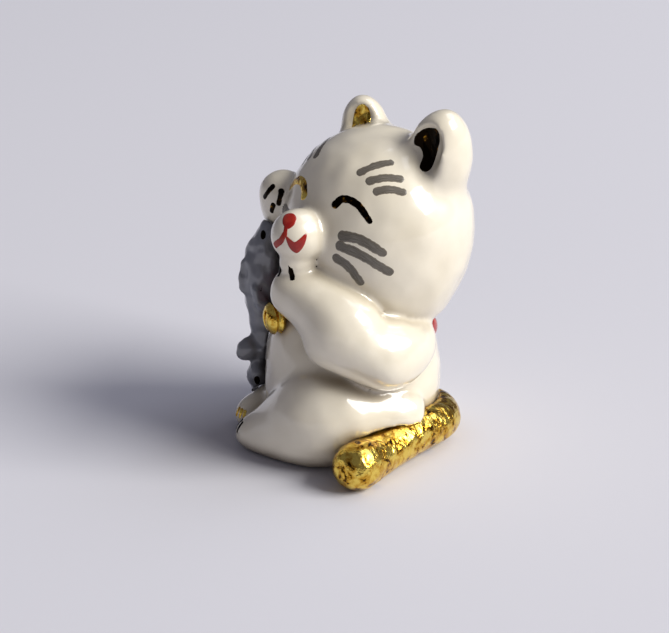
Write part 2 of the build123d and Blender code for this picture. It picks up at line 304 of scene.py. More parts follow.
# %% The white glazed skin
CLAY_NODES = ["torso", "head", "snout", "chin", "left_ear", "right_ear", "left_leg", "right_leg",
              "left_arm", "right_arm"]
VOXEL = 0.24 * MM
CREASE_ROUNDS = 14
white_skin = clay_skin(CLAY_NODES, VOXEL, CREASE_ROUNDS)
print("islands:", largest_island(white_skin), "faces:", len(white_skin.polygons))

# %% [markdown]
# The ears are luted on with more slip than the other pieces, so their joins are wide, soft hollows. The
# whole glaze is a little uneven. Behind the neck the red collar stands clear of the white.

# %% Wide joins at the ears, hand finish and a clear collar
EAR_JOIN_WIDTHS = {"left_ear": 2.6 * MM, "right_ear": 1.8 * MM}
EAR_JOIN_ROUNDS = 60
HAND_LUMP = 3.6 * MM
HAND_DEPTH = 0.14 * MM
GLAZE_OVER_COLLAR = 2.0 * MM
COLLAR_CLEARANCE = 0.45 * MM
for ear, width in EAR_JOIN_WIDTHS.items():
    soften(white_skin, join_weights(white_skin, ear, "head", width), EAR_JOIN_ROUNDS)
uneven(white_skin, HAND_LUMP, HAND_DEPTH, seed=2)
drawn_back = bare_ring(white_skin, "collar", GLAZE_OVER_COLLAR, COLLAR_CLEARANCE)
print("vertices drawn back from the collar:", drawn_back)
stand(white_skin)

# %% Cut the skin back into its pieces
pieces = {}
white_owner = owners(white_skin, CLAY_NODES)
for node in CLAY_NODES:
    pieces[node] = new_object(node + "_glazed", cut_piece(white_skin, white_owner, node))
    print(node, len(pieces[node].data.polygons), "faces")


# %% Search trees of the glaze, for the marks on it
def glaze_tree(*nodes):
    """Search tree of the glaze that covers the given nodes only."""
    owned = zip(white_skin.polygons, white_owner)
    faces = [list(face.vertices) for face, node in owned if node in nodes]
    return BVHTree.FromPolygons([vert.co for vert in white_skin.vertices], faces)


head_tree = glaze_tree("head", "left_ear", "right_ear")
face_tree = glaze_tree("head", "snout", "chin")

# %% [markdown]
# ## The fish
# A small fish in grey-blue glaze, held by the head under the beckoning paw. It is modelled loosely, with
# a dented, lumpy body. A Displace modifier could dent it, but it would push the skin outwards too, past
# the clay. Moving each vertex inwards by a slow noise, after the same relaxing, keeps it inside.

# %% Fish skin
FISH_NODES = ["fish_body", "fish_front_lobe", "fish_lower_lobe", "fish_back_fin", "fish_side_fin"]
FISH_VOXEL = 0.16 * MM
FISH_LUMP = 2.0 * MM
FISH_DENT = 0.34 * MM
LUMP_CONTRAST = 1.6


def lumpy(skin, size, depth, seed):
    """Dents and swellings of about the given size, pressed inwards only."""
    normals = [vert.normal.copy() for vert in skin.vertices]
    for vert, normal in zip(skin.vertices, normals):
        swell = max(-1.0, min(1.0, swell_at(vert.co, size, seed) * LUMP_CONTRAST))
        vert.co -= normal * depth * (0.5 - 0.5 * swell)
    skin.update()


fish_skin = clay_skin(FISH_NODES, FISH_VOXEL, 6)
largest_island(fish_skin)
lumpy(fish_skin, FISH_LUMP, FISH_DENT, seed=3)
stand(fish_skin)
fish_tree = surface_tree(fish_skin)
fish_owner = owners(fish_skin, FISH_NODES)
fish_pieces = {}
for node in FISH_NODES:
    fish_pieces[node] = new_object(node + "_glazed", cut_piece(fish_skin, fish_owner, node))
print("fish faces:", len(fish_skin.polygons))

# %% [markdown]
# ## Tail, collar and bell
# The tail is a thick little roll laid round the hip and gilded all over. Gold lustre shows every dimple
# of the clay under it, so the roll gets a fine, shallow unevenness in its mesh, where a bump in the
# material would leave its outline smooth. The collar is a thin red ring in the groove under the head, and
# the bell is a gilded bead with a groove round it and a slot in its front. Both are the clay shapes with
# their edges relaxed, as a modifier on sharp edges would leave them too crisp.

# %% Tail
TAIL_VOXEL = 0.14 * MM
TAIL_LUMP = 0.9 * MM
TAIL_DENT = 0.07 * MM
tail_skin = clay_skin(["tail"], TAIL_VOXEL, rounds=6)
largest_island(tail_skin)
lumpy(tail_skin, TAIL_LUMP, TAIL_DENT, seed=5)
stand(tail_skin)
tail = new_object("tail_gilded", tail_skin)
for polygon in tail.data.polygons:
    polygon.use_smooth = True
print("tail faces:", len(tail.data.polygons))

# %% Collar and bell
COLLAR_SWELL = 0.12 * MM
COLLAR_VOXEL = 0.12 * MM
BELL_VOXEL = 0.07 * MM
collar_skin = clay_skin(["collar"], COLLAR_VOXEL, rounds=4)
for vert, normal in [(vert, vert.normal.copy()) for vert in collar_skin.vertices]:
    vert.co += normal * COLLAR_SWELL
collar = new_object("collar_glazed", collar_skin)
bell_skin = clay_skin(["bell"], BELL_VOXEL, rounds=5)
largest_island(bell_skin)
bell = new_object("bell_gilded", bell_skin)
for thing in (collar, bell):
    for polygon in thing.data.polygons:
        polygon.use_smooth = True
    print(thing.name, len(thing.data.polygons), "faces")

# %% [markdown]
# ## Brush marks
# Lustre and enamel are painted on the fired glaze and fired again, so each mark is a very thin raised
# skin with rounded edges that follows the surface under it. A mark could be painted in a texture, but
# then it would have no edge to catch the light. So a flat grid is laid out along the brush path, and
# every point of it is dropped on to the glaze.

# %% Smooth paths and dropping on to the glaze
DROP_SPANS = 3.0


def drop(tree, point, direction, reach):
    """Where a point dropped along a direction meets the surface, and the normal there."""
    place, normal, _, _ = tree.ray_cast(point + direction * reach, -direction, reach * DROP_SPANS)
    return (place, normal) if place else (None, None)


def smooth_between(before, first, second, after, t):
    """Point between the middle two of four points, on a smooth curve through them."""
    return 0.5 * (
        2 * first
        + (second - before) * t
        + (2 * before - 5 * first + 4 * second - after) * t * t
        + (3 * first - before - 3 * second + after) * t * t * t
    )


def along(path, share):
    """Point on a smooth path through the given points."""
    spans = len(path) - 1
    span = min(int(share * spans), spans - 1)
    t = share * spans - span
    before = path[max(span - 1, 0)]
    after = path[min(span + 2, spans)]
    return smooth_between(before, path[span], path[span + 1], after, t)


def round_outline(outline, share):
    """Point on a closed, smooth outline."""
    count = len(outline)
    span = int(share * count) % count
    t = share * count - int(share * count)
    corners = [outline[(span + step) % count] for step in (-1, 0, 1, 2)]
    return smooth_between(*corners, t)


# %% Finish a mark that has been laid out
UNDERSIDE = 0.12 * MM


def finish_mark(work, name, layer, spots, outward):
    """Give a laid-out mark its underside, a UV map along the brush, and smooth faces."""
    bmesh.ops.recalc_face_normals(work, faces=work.faces)
    if sum((face.normal.dot(outward) for face in work.faces)) < 0:
        bmesh.ops.reverse_faces(work, faces=work.faces)
    for face in work.faces:
        face.smooth = True
        for loop in face.loops:
            loop[layer].uv = spots[loop.vert]
    rim = [edge for edge in work.edges if edge.is_boundary]
    under = bmesh.ops.extrude_edge_only(work, edges=rim)["geom"]
    lower = [item for item in under if isinstance(item, bmesh.types.BMVert)]
    bmesh.ops.translate(work, verts=lower, vec=-outward * UNDERSIDE)
    edge_loop = [edge for edge in work.edges if edge.is_boundary]
    bmesh.ops.holes_fill(work, edges=edge_loop, sides=0)
    bmesh.ops.recalc_face_normals(work, faces=work.faces)
    mesh = bpy.data.meshes.new(name)
    work.to_mesh(mesh)
    work.free()
    return mesh


# %% A stroke of the brush
PATH_STEPS = 160
NIB_SHARE = 0.45  # how far the round end reaches past the path, in stroke widths
ROW_LENGTH = 0.08 * MM
LONG_WANDER = 0.8 * MM
SHORT_WANDER = 0.3 * MM
BRUSH_REACH = 1.0 * MM
CROWN = 1.25
EDGE_SINK = 0.25


def brush_mark(name, tree, path, outward, widths, height, wander, seed):
    """Brush mark along a path: rounded ends, a little uneven, thickest along its middle."""
    path = [path[0] + (path[0] - path[1]).normalized() * widths[0] * NIB_SHARE] + path
    path = path + [path[-1] + (path[-1] - path[-2]).normalized() * widths[1] * NIB_SHARE]
    fine = [along(path, step / PATH_STEPS) for step in range(PATH_STEPS + 1)]
    reached = [0.0]
    for first, second in zip(fine, fine[1:]):
        reached.append(reached[-1] + (second - first).length)
    length = reached[-1]
    phase = random.Random(seed).uniform(0, 10)
    rows = max(16, int(length / ROW_LENGTH))
    work = bmesh.new()
    layer = work.loops.layers.uv.new("UVMap")
    grid = bmesh.ops.create_grid(work, x_segments=rows, y_segments=12, size=1.0)["verts"]
    spots = {}
    lost = []
    for vert in grid:
        walked = (vert.co.x + 1) / 2 * length
        across = vert.co.y
        at = min(max(1, sum(1 for mark in reached if mark < walked)), PATH_STEPS)
        blend = (walked - reached[at - 1]) / max(reached[at] - reached[at - 1], 1e-9)
        point = fine[at - 1].lerp(fine[at], blend)
        ahead = (fine[min(at + 3, PATH_STEPS)] - fine[max(at - 4, 0)]).normalized()
        half = (widths[0] + (widths[1] - widths[0]) * walked / length) / 2
        from_end = min(walked, length - walked, half)
        nib = math.sqrt(max(0.02, 1 - (1 - from_end / half) ** 2))
        edge = 1 + wander * noise.noise(Vector((walked / LONG_WANDER, phase, 0)))
        edge += wander * noise.noise(Vector((walked / SHORT_WANDER, phase, across * 0.5 + 4)))
        side = ahead.cross(outward).normalized()
        spot = point + side * across * half * nib * edge
        place, normal = drop(tree, spot, outward, BRUSH_REACH)
        if place is None:
            lost.append(vert)
            continue
        crown = CROWN * math.sqrt(max(0.0, 1 - across * across)) * min(1, nib * 1.3)
        vert.co = place + normal * height * (crown - EDGE_SINK)
        spots[vert] = (walked / MM, across)
    bmesh.ops.delete(work, geom=lost, context="VERTS")
    return finish_mark(work, name, layer, spots, outward)


# %% A filled patch
PATCH_SEGMENTS = 20
PATCH_REACH = 4 * MM


def filled_mark(name, tree, outline, outward, height, reach=PATCH_REACH):
    """Filled mark inside a closed outline of points, thickest inside, thin at its edge."""
    centre = sum(outline, Vector()) / len(outline)
    work = bmesh.new()
    layer = work.loops.layers.uv.new("UVMap")
    grid = bmesh.ops.create_grid(work, x_segments=PATCH_SEGMENTS, y_segments=PATCH_SEGMENTS,
                                 size=1.0)["verts"]
    spots = {}
    lost = []
    for vert in grid:
        share = max(abs(vert.co.x), abs(vert.co.y))
        turn = math.atan2(vert.co.y, vert.co.x) / math.tau % 1.0
        edge = round_outline(outline, turn)
        place, normal = drop(tree, centre + (edge - centre) * share, outward, reach)
        if place is None:
            lost.append(vert)
            continue
        spots[vert] = (share * math.cos(turn * math.tau), share * math.sin(turn * math.tau))
        crown = CROWN * math.sqrt(max(0.0, 1 - share**4))
        vert.co = place + normal * height * (crown - EDGE_SINK)
    bmesh.ops.delete(work, geom=lost, context="VERTS")
    return finish_mark(work, name, layer, spots, outward)


# %% Join marks, and place them on the head
def join_marks(name, meshes):
    """Several marks of one kind as one piece."""
    work = bmesh.new()
    for mesh in meshes:
        work.from_mesh(mesh)
    mesh = bpy.data.meshes.new(name)
    work.to_mesh(mesh)
    work.free()
    return new_object(name, mesh)


BEYOND_HEAD = 10.9 * MM
HEAD_REACH = 3.5 * MM
HEAD_RADIUS = 9.5 * MM


def on_head(directions):
    """Points of the glaze over the head, in the given directions from its middle."""
    points = []
    for azimuth, latitude in directions:
        direction = way(azimuth, latitude)
        place = head_tree.ray_cast(head_middle + direction * BEYOND_HEAD, -direction, HEAD_REACH)[0]
        points.append(place or head_middle + direction * HEAD_RADIUS)
    return points


def mean_way(directions, turn=HEAD_TURN):
    """Mean of the given directions."""
    ways = [way(azimuth, latitude, turn) for azimuth, latitude in directions]
    return sum(ways, Vector()).normalized()


def mirrored(directions):
    """The same path on the other side of the face."""
    return [(-azimuth, latitude) for azimuth, latitude in directions]


# %% [markdown]
# ## The painted face
# The eyes are single lustre strokes, closed and arched. The forehead stripes and whiskers are three soft
# grey strokes on each side. Each path is given as directions from the head's middle, degrees round from
# the face and degrees up, because the head is round and a flat drawing would stretch at its sides.

# %% Eyes, forehead and whiskers
LUSTRE_HEIGHT = 0.05 * MM
WASH_HEIGHT = 0.022 * MM
WHISKER_WIDTHS = (1.12 * MM, 0.92 * MM)
STRIPE_WIDTHS = (0.9 * MM, 0.8 * MM)
LEFT_EYE = [(18, 29), (23, 33), (33, 31), (42, 22)]
RIGHT_EYE = [(-12, 28), (-19, 33), (-30, 32), (-40, 24)]
FOREHEAD = [
    [(31, 50), (44, 55), (59, 57)],
    [(40, 45), (53, 47), (65, 46)],
    [(46, 39), (56, 40), (65, 38)],
]
WHISKERS = [
    [(26, 12), (37, 11), (50, 4)],
    [(25, 6), (38, 2), (54, -8)],
    [(23, -2), (30, -6), (37, -15)],
]
marks = {}


def head_marks(name, paths, widths, height, wander):
    """Brush marks on the head, as one piece."""
    meshes = []
    for index, path in enumerate(paths):
        seed = index + len(name)
        meshes.append(brush_mark(name, head_tree, on_head(path), mean_way(path), widths, height,
                                 wander, seed))
    marks[name] = join_marks(name + "_painted", meshes)


far_forehead = [mirrored(path) for path in FOREHEAD]
far_whiskers = [mirrored(path) for path in WHISKERS]
head_marks("left_eye_line", [LEFT_EYE], (0.85 * MM, 0.6 * MM), LUSTRE_HEIGHT, wander=0.12)
head_marks("right_eye_line", [RIGHT_EYE], (1.1 * MM, 0.8 * MM), LUSTRE_HEIGHT, wander=0.12)
head_marks("forehead_stripes", FOREHEAD + far_forehead, STRIPE_WIDTHS, WASH_HEIGHT, wander=0.16)
head_marks("left_whiskers", WHISKERS, WHISKER_WIDTHS, WASH_HEIGHT, wander=0.14)
head_marks("right_whiskers", far_whiskers, WHISKER_WIDTHS, WASH_HEIGHT, wander=0.14)
print({name: len(thing.data.polygons) for name, thing in marks.items()})

# %% Nose and mouth
snout_middle = head_middle + way(0, 0) * 10.2 * MM + Vector((0, 0, 1.4 * MM))
PIECE_REACH = 6 * MM
PIECE_RADIUS = 2 * MM
FILL_HEIGHT = 0.045 * MM
LINE_HEIGHT = 0.035 * MM


def on_piece(tree, centre, directions, turn=HEAD_TURN):
    """Points of the glaze in the given directions from a piece's middle."""
    points = []
    for azimuth, latitude in directions:
        direction = way(azimuth, latitude, turn)
        place, _ = drop(tree, centre, direction, PIECE_REACH)
        points.append(place or centre + direction * PIECE_RADIUS)
    return points


def face_stroke(name, path, widths, seed):
    """A thin enamel line on the muzzle."""
    points = on_piece(face_tree, snout_middle, path)
    return brush_mark(name, face_tree, points, mean_way(path), widths, LINE_HEIGHT, wander=0.2, seed=seed)


def face_patch(name, outline):
    """A filled enamel patch on the muzzle."""
    points = on_piece(face_tree, snout_middle, outline)
    return filled_mark(name, face_tree, points, mean_way(outline), FILL_HEIGHT)


NOSE = [(-20, 58), (10, 70), (42, 58), (37, 40), (22, 30), (2, 40)]
PHILTRUM = [(18, 36), (19, 26), (20, 16)]
MOUTH_FAR = [(19, 20), (12, 6), (-4, -8)]
MOUTH_NEAR = [(21, 18), (40, 6), (68, 24), (63, 0), (46, -22), (30, -8)]
marks["nose"] = join_marks("nose_painted", [face_patch("nose", NOSE)])
marks["mouth"] = join_marks("mouth_painted", [
    face_stroke("philtrum", PHILTRUM, (0.42 * MM, 0.4 * MM), 3),
    face_stroke("far", MOUTH_FAR, (0.5 * MM, 0.72 * MM), 4),
    face_patch("near", MOUTH_NEAR),
])
print({name: len(marks[name].data.polygons) for name in ("nose", "mouth")}, "faces")

# %% [markdown]
# ## Claws
# Each paw has three short lustre strokes for claws. They could sit on the arm alone, but the near paw is
# pressed into the chin and the glaze there is shared, so its strokes look for the glaze of both.

# %% Claws
left_paw = at_axis(3.4, -6.9, 17.2)
right_paw = at_axis(-6.1, -5.2, 23.8)
left_toes = at_axis(0.5, -11.2, 1.7)
right_toes = at_axis(-2.6, -10.5, 1.8)
TOE_PATHS = [[(-34, 48), (-30, 8)], [(0, 52), (0, 8)], [(34, 48), (30, 8)]]
CLAWS = {
    "left_paw_claws": (left_paw, 0.0, [
        [(32, 68), (40, 58), (47, 48)], [(-28, 64), (-6, 44)], [(-66, 44), (-44, 30)]
    ]),
    "right_paw_claws": (right_paw, 0.0, [
        [(42, 36), (28, 20), (14, 2)], [(70, 26), (62, -8)], [(46, -14), (38, -34)]
    ]),
    "left_toe_claws": (left_toes, math.radians(-27), TOE_PATHS),
    "right_toe_claws": (right_toes, math.radians(20), TOE_PATHS),
}
CLAWED_PIECES = {
    "left_paw_claws": ("left_arm", "chin", "snout"),
    "right_paw_claws": ("right_arm",),
    "left_toe_claws": ("left_leg",),
    "right_toe_claws": ("right_leg",),
}
CLAW_WIDTHS = {
    "left_paw_claws": (0.62 * MM, 0.5 * MM),
    "right_paw_claws": (0.62 * MM, 0.5 * MM),
    "left_toe_claws": (0.46 * MM, 0.38 * MM),
    "right_toe_claws": (0.42 * MM, 0.34 * MM),
}
for name, (centre, turn, paths) in CLAWS.items():
    tree = glaze_tree(*CLAWED_PIECES[name])
    meshes = [
        brush_mark(name, tree, on_piece(tree, centre, path, turn), mean_way(path, turn),
                   CLAW_WIDTHS[name], LUSTRE_HEIGHT, wander=0.18, seed=index)
        for index, path in enumerate(paths)
    ]
    marks[name] = join_marks(name + "_painted", meshes)
    print(name, len(marks[name].data.polygons), "faces")

# %% [markdown]
# ## Ear linings and the fish's marks
# Each ear cup is gilded inside, with a white rim left round the gold. The fish has a dot of lustre for its
# eye and one on its tail. All are filled patches, dropped in along the opening so that they follow the
# hollow, and their reach is short so that none comes through to the ear's back.

# %% Ear linings
LINING_REACH = 1.0 * MM
LINING_HEIGHT = 0.04 * MM


def ear_lining(node, azimuth, half_width, half_height, shape, shift=0.0):
    """Gilded patch inside an ear cup, dropped in along the cup's opening."""
    outward = way(azimuth, 8)
    side = Vector((0, 0, 1)).cross(outward).normalized()
    up = outward.cross(side).normalized()
    centre = middle(node) + side * shift
    outline = [centre + side * across * half_width + up * high * half_height
               for across, high in shape]
    tree = glaze_tree(node.replace("_lining", ""), "head")
    mesh = filled_mark(node, tree, outline, outward, LINING_HEIGHT, LINING_REACH)
    return join_marks(node + "_gilded", [mesh])


HOOKED_PATCH = [(0.9, 0.5), (0.75, 0.95), (0.2, 1.0), (-0.4, 0.85), (-0.95, 0.5), (-1.0, 0.1),
                (-0.6, -0.05), (-0.35, -0.4), (-0.3, -0.85), (0.1, -1.05), (0.45, -0.85),
                (0.65, -0.3)]
OVAL_PATCH = [(1.0, 0.0), (0.85, 0.6), (0.4, 1.0), (-0.1, 1.05), (-0.7, 0.7), (-0.95, 0.1),
              (-0.9, -0.6), (-0.3, -1.0), (0.4, -1.0), (0.85, -0.6)]
marks["left_ear_lining"] = ear_lining("left_ear_lining", 24, 1.45 * MM, 2.1 * MM, HOOKED_PATCH,
                                      -0.2 * MM)
marks["right_ear_lining"] = ear_lining("right_ear_lining", 30, 0.95 * MM, 1.4 * MM, OVAL_PATCH)

# %% Dots on the fish
DOT_CORNERS = 8
DOT_HEIGHT = 0.08 * MM
DOT_REACH = 3 * MM
FISH_DOTS = [
    (at_axis(-5.2, -7.5, 20.1), 60, (0.3 * MM, 0.45 * MM)),
    (at_axis(-4.9, -8.5, 4.4), 50, (0.3 * MM, 0.5 * MM)),
]
dot_meshes = []
for centre, azimuth, (half_width, half_height) in FISH_DOTS:
    outward = way(azimuth, 10, 0)
    side = Vector((0, 0, 1)).cross(outward).normalized()
    up = outward.cross(side)
    outline = []
    for step in range(DOT_CORNERS):
        angle = step / DOT_CORNERS * math.tau
        outline.append(centre + side * math.cos(angle) * half_width
                       + up * math.sin(angle) * half_height)
    dot_meshes.append(filled_mark("dot", fish_tree, outline, outward, DOT_HEIGHT, DOT_REACH))
marks["fish_dots"] = join_marks("fish_dots_painted", dot_meshes)
print({name: len(thing.data.polygons) for name, thing in marks.items()})

# %% [markdown]
# ## Materials
# The glaze is a clear, glossy skin over warm white porcelain, with painted shade darkening it in the
# creases, where it also stands for pooled glaze. The lustre is real metal, gold, painted in blotches
# nearly black as a dark reflection of the room. The red is a low enamel and the grey is a thin wash that
# lets the white show through. Painted image textures could hold all this, but patterns made of nodes need
# no unwrapping and are as sharp as the view needs. Each pattern's scale comes from the size in
# millimetres that it has on the piece.

# %% Material helpers
def linear(code):
    """An sRGB hex colour as linear red, green and blue with full alpha."""
    values = [int(code[start:start + 2], 16) / 255 for start in (1, 3, 5)]
    return [
        value / 12.92 if value <= 0.04045 else ((value + 0.055) / 1.055) ** 2.4 for value in values
    ] + [1.0]


def material(name):
    """A material with its node tree, its shader and its output."""
    made = bpy.data.materials.new(name)
    made.use_nodes = True
    return made, made.node_tree.nodes["Principled BSDF"]


def per(millimetres):
    """A pattern's scale, from the size that one lump or cell of it has on the piece."""
    return 1 / (millimetres * MM)


def set_stops(node, stops):
    """Give a node's colour ramp its (position, colour) stops."""
    elements = node.color_ramp.elements
    while len(elements) < len(stops):
        elements.new(0.5)
    for element, (position, colour) in zip(elements, stops):
        element.position = position
        element.color = linear(colour)


def add(made, kind, settings=None, links=None):
    """Add a shader node with its settings, and link sockets into it by name or number."""
    node = made.node_tree.nodes.new("ShaderNode" + kind)
    for key, value in (settings or {}).items():
        if key == "stops":
            set_stops(node, value)
        elif hasattr(node, str(key)):
            setattr(node, key, value)
        else:
            node.inputs[key].default_value = value
    for key, source in (links or {}).items():
        made.node_tree.links.new(source, node.inputs[key])
    return node


def join_to(made, source, shader, socket):
    """Link a value into one of the shader's own sockets."""
    made.node_tree.links.new(source, shader.inputs[socket])


# %% Glazes
CREASE_SHADE_REACH = 2.2 * MM
CLEAR_COAT_ROUGHNESS = 0.03
GLASS_IOR = 1.5
PINHOLE_COLOUR = "#4A443C"
GLAZE_CLOUD = 3.846  # mm, a cloud in the glaze
GLAZE_WAVE = 2.381  # mm, a ripple in the glaze
PINHOLE_CELL = 5.263  # mm, the area that may hold one pinhole


def glaze(name, pale, painted_crease_shade, body_roughness, pits):
    """Glossy glaze: pale on the rounds, with painted shade darkening it in the creases, where it also
    stands for pooled glaze, faintly wavy, with a few pinholes.
    """
    made, shader = material(name)
    place = add(made, "TexCoord").outputs["Object"]
    # Painted shade: ambient occlusion darkens the colour towards the crease colour in the creases.
    crease_shade_mask = add(made, "AmbientOcclusion", {"Distance": CREASE_SHADE_REACH, "samples": 8}).outputs["AO"]
    cloud = add(made, "TexNoise", {"Scale": per(GLAZE_CLOUD), "Detail": 3.0, "Roughness": 0.5},
                {"Vector": place})
    tone = add(made, "MapRange", {"From Min": 0.35, "From Max": 0.95, "To Min": 0.0, "To Max": 1.0},
               {"Value": crease_shade_mask})
    colour = add(made, "ValToRGB", {"stops": [(0.0, painted_crease_shade), (1.0, pale)]},
                 {"Fac": tone.outputs["Result"]})
    mottle = add(made, "ValToRGB", {"stops": [(0.3, "#EDEAE2"), (0.7, "#FFFFFF")]},
                 {"Fac": cloud.outputs["Fac"]})
    tinted = add(made, "MixRGB", {"blend_type": "MULTIPLY", "Fac": 0.5},
                 {"Color1": colour.outputs["Color"], "Color2": mottle.outputs["Color"]})
    spots = add(made, "TexVoronoi", {"Scale": per(PINHOLE_CELL), "Randomness": 1.0},
                {"Vector": place})
    chance = add(made, "SeparateColor", links={"Color": spots.outputs["Color"]}).outputs["Red"]
    rare = add(made, "Math", {"operation": "GREATER_THAN", 1: 1 - pits}, {0: chance})
    near = add(made, "MapRange",
               {"From Min": 0.02, "From Max": 0.045, "To Min": 1.0, "To Max": 0.0},
               {"Value": spots.outputs["Distance"]})
    pit = add(made, "Math", {"operation": "MULTIPLY"},
              {0: rare.outputs["Value"], 1: near.outputs["Result"]}).outputs["Value"]
    pitted = add(made, "MixRGB", {"blend_type": "MIX", "Color2": linear(PINHOLE_COLOUR)},
                 {"Fac": pit, "Color1": tinted.outputs["Color"]})
    join_to(made, pitted.outputs["Color"], shader, "Base Color")
    wave = add(made, "TexNoise", {"Scale": per(GLAZE_WAVE), "Detail": 2.0}, {"Vector": place})
    bump = add(made, "Bump", {"Strength": 0.12, "Distance": 0.12 * MM},
               {"Height": wave.outputs["Fac"]})
    hollow = add(made, "Bump", {"Strength": 0.8, "Distance": 0.1 * MM, "invert": True},
                 {"Height": pit, "Normal": bump.outputs["Normal"]})
    join_to(made, hollow.outputs["Normal"], shader, "Normal")
    shader.inputs["Roughness"].default_value = body_roughness
    shader.inputs["IOR"].default_value = GLASS_IOR
    shader.inputs["Coat Weight"].default_value = 1.0
    shader.inputs["Coat Roughness"].default_value = CLEAR_COAT_ROUGHNESS
    return made


# Warm white porcelain under clear glaze: soft, milky, with broad highlights, and painted shade in the
# creases.
white_glaze = glaze("glazed_white_porcelain", "#EFE7D4", "#A2957F", body_roughness=0.3, pits=0.03)
# Grey-blue glaze, with painted shade darkening it in the dents, where it also stands for pooled glaze;
# paler on the swellings.
fish_glaze = glaze("glazed_grey_blue_porcelain", "#7E8088", "#2E3038", body_roughness=0.3,
                   pits=0.02)
print(white_glaze.name, fish_glaze.name)

# %% Gold lustre
DARK_REFLECTION_BLOTCH = 0.909  # mm, a blotch of painted dark reflection
LUSTRE_DIMPLE = 0.667  # mm, a dimple of the clay under it
LUSTRE_PINHOLE = 1.111  # mm, from one pinhole to the next
LUSTRE_ROUGHNESS = 0.2


def lustre(name, dark_reflection_share, grain):
    """Fired gold lustre: bright metal, blotched nearly black with painted dark reflection, dimpled and
    pinholed.
    """
    made, shader = material(name)
    place = add(made, "TexCoord").outputs["Object"]
    dark_reflection_blotch = add(made, "TexNoise",
                 {"Scale": per(DARK_REFLECTION_BLOTCH), "Detail": 4.0, "Roughness": 0.62, "Distortion": 0.4},
                 {"Vector": place})
    # The dark stops are painted dark reflection: they show the dark room nearly black in blotches on the
    # metal.
    edge = 0.28 + 0.44 * dark_reflection_share
    stops = [(edge - 0.05, "#120C06"), (edge, "#5A3D12"), (edge + 0.05, "#C9962F"),
             (edge + 0.2, "#F2D467")]
    colour = add(made, "ValToRGB", {"stops": stops}, {"Fac": dark_reflection_blotch.outputs["Fac"]})
    join_to(made, colour.outputs["Color"], shader, "Base Color")
    fine = add(made, "TexNoise", {"Scale": per(LUSTRE_DIMPLE), "Detail": 3.0, "Roughness": 0.55},
               {"Vector": place})
    bump = add(made, "Bump", {"Strength": grain, "Distance": 0.12 * MM},
               {"Height": fine.outputs["Fac"]})
    cells = add(made, "TexVoronoi", {"Scale": per(LUSTRE_PINHOLE), "Randomness": 1.0},
                {"Vector": place})
    pin = add(made, "MapRange", {"From Min": 0.05, "From Max": 0.25, "To Min": 0.0, "To Max": 1.0},
              {"Value": cells.outputs["Distance"]})
    holes = add(made, "Bump", {"Strength": grain * 0.5, "Distance": 0.05 * MM},
                {"Height": pin.outputs["Result"], "Normal": bump.outputs["Normal"]})
    join_to(made, holes.outputs["Normal"], shader, "Normal")
    shader.inputs["Metallic"].default_value = 1.0
    shader.inputs["Roughness"].default_value = LUSTRE_ROUGHNESS
    return made


# Bright gilding: a dimpled metal skin, with a few blotches of painted dark reflection.
gold = lustre("gold_lustre", dark_reflection_share=0.22, grain=0.9)
# Lustre in the eye line, claws and near ear, painted almost black as a dark reflection, with gold breaking
# through.
dark_reflection_gold = lustre("gold_lustre_dark_reflection", dark_reflection_share=0.86, grain=0.3)
print(gold.name, dark_reflection_gold.name)

# %% Enamel and wash
ENAMEL_CLOUD = 1.429  # mm, a thin patch of enamel
ENAMEL_ROUGHNESS = 0.22
WASH_ROUGHNESS = 0.25


def enamel(name, colour, thin):
    """Painted enamel: glossy, in slow clouds, paler where it is thin."""
    made, shader = material(name)
    place = add(made, "TexCoord").outputs["Object"]
    cloud = add(made, "TexNoise", {"Scale": per(ENAMEL_CLOUD), "Detail": 3.0}, {"Vector": place})
    tone = add(made, "ValToRGB", {"stops": [(0.32, thin), (0.55, colour)]},
               {"Fac": cloud.outputs["Fac"]})
    join_to(made, tone.outputs["Color"], shader, "Base Color")
    shader.inputs["Roughness"].default_value = ENAMEL_ROUGHNESS
    shader.inputs["IOR"].default_value = GLASS_IOR
    return made


def wash(name, colour, heavy):
    """Thin grey wash: streaked along the brush, softer at its edges, letting the glaze show.

    The UV map runs in millimetres along the brush and from -1 to 1 across it, so a streak is
    about 1.3 mm long and a seventh of half the stroke's width.
    """
    made, shader = material(name)
    flat = add(made, "UVMap").outputs["UV"]
    parts = add(made, "SeparateXYZ", links={"Vector": flat})
    stretched = add(made, "Mapping", {"Scale": (0.35, 3.2, 1.0)}, {"Vector": flat})
    streak = add(made, "TexNoise", {"Scale": 2.2, "Detail": 4.0, "Roughness": 0.6},
                 {"Vector": stretched.outputs["Vector"]})
    tone = add(made, "ValToRGB", {"stops": [(0.3, heavy), (0.7, colour)]},
               {"Fac": streak.outputs["Fac"]})
    join_to(made, tone.outputs["Color"], shader, "Base Color")
    rim = add(made, "Math", {"operation": "ABSOLUTE"}, {0: parts.outputs["Y"]})
    inside = add(made, "MapRange",
                 {"From Min": 0.6, "From Max": 1.0, "To Min": 0.92, "To Max": 0.12},
                 {"Value": rim.outputs["Value"]})
    thin = add(made, "MapRange",
               {"From Min": 0.25, "From Max": 0.6, "To Min": 0.72, "To Max": 1.0},
               {"Value": streak.outputs["Fac"]})
    cover = add(made, "Math", {"operation": "MULTIPLY"},
                {0: inside.outputs["Result"], 1: thin.outputs["Result"]})
    join_to(made, cover.outputs["Value"], shader, "Alpha")
    shader.inputs["Roughness"].default_value = WASH_ROUGHNESS
    shader.inputs["IOR"].default_value = GLASS_IOR
    return made


# Red enamel: a warm, slightly uneven red.
red = enamel("red_enamel", "#961A12", "#B03A28")
# Grey wash: the forehead stripes and the whiskers.
grey = wash("grey_brushwork", "#827C72", "#56514A")
print(red.name, grey.name)

# %% Give each piece its finish and body
def finish_piece(thing, made, slot, *nodes):
    """A finished piece: its material, the CAD nodes it stands for and its body; the slot is not used."""
    thing.data.materials.clear()
    thing.data.materials.append(made)
    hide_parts(*nodes)
    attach(thing, "root")


